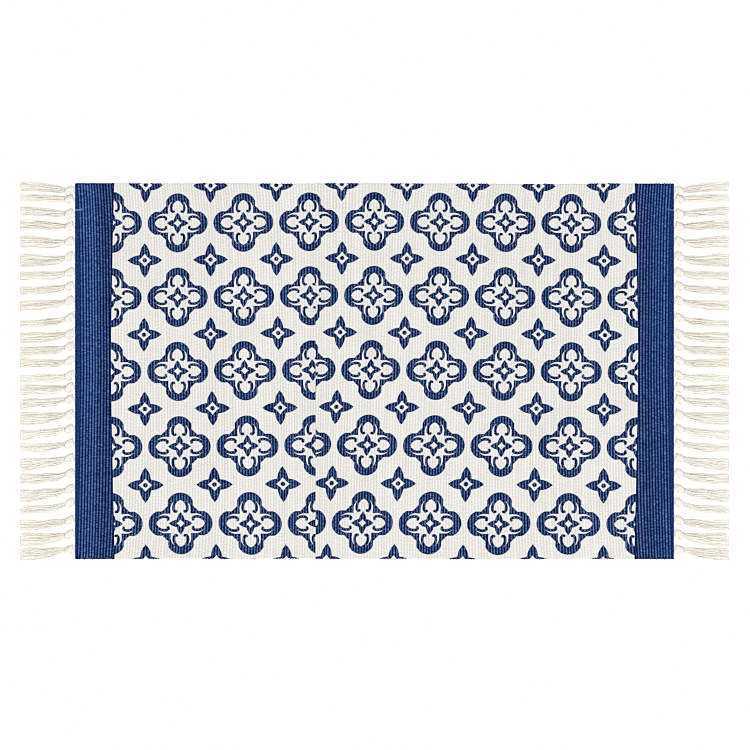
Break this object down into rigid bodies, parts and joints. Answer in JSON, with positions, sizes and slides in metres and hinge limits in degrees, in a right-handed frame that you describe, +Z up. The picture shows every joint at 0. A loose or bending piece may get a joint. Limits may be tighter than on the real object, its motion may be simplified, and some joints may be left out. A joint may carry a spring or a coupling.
{
  "type": "flatweave runner rug",
  "caption": "Flat ribbed cotton rug with navy end bands, a navy quatrefoil and star print on white, and knotted tassel fringes at both ends.",
  "frame": {"origin": "middle of the rug's underside, on the floor it lies on", "axes": "+X along the rug's length from one fringe to the other, +Y across its width, +Z up out of the floor"},
  "size_m": [1.132, 0.6085, 0.009],
  "materials": {
    "printed_cotton": "matt ribbed cotton weave, off-white ground with a navy print, navy end bands",
    "cotton_yarn": "matt ivory cotton yarn, loosely twisted"
  },
  "bodies": {
    "root": {"rug": "printed_cotton", "fringe_left": "cotton_yarn", "fringe_right": "cotton_yarn"}
  },
  "joints": []
}
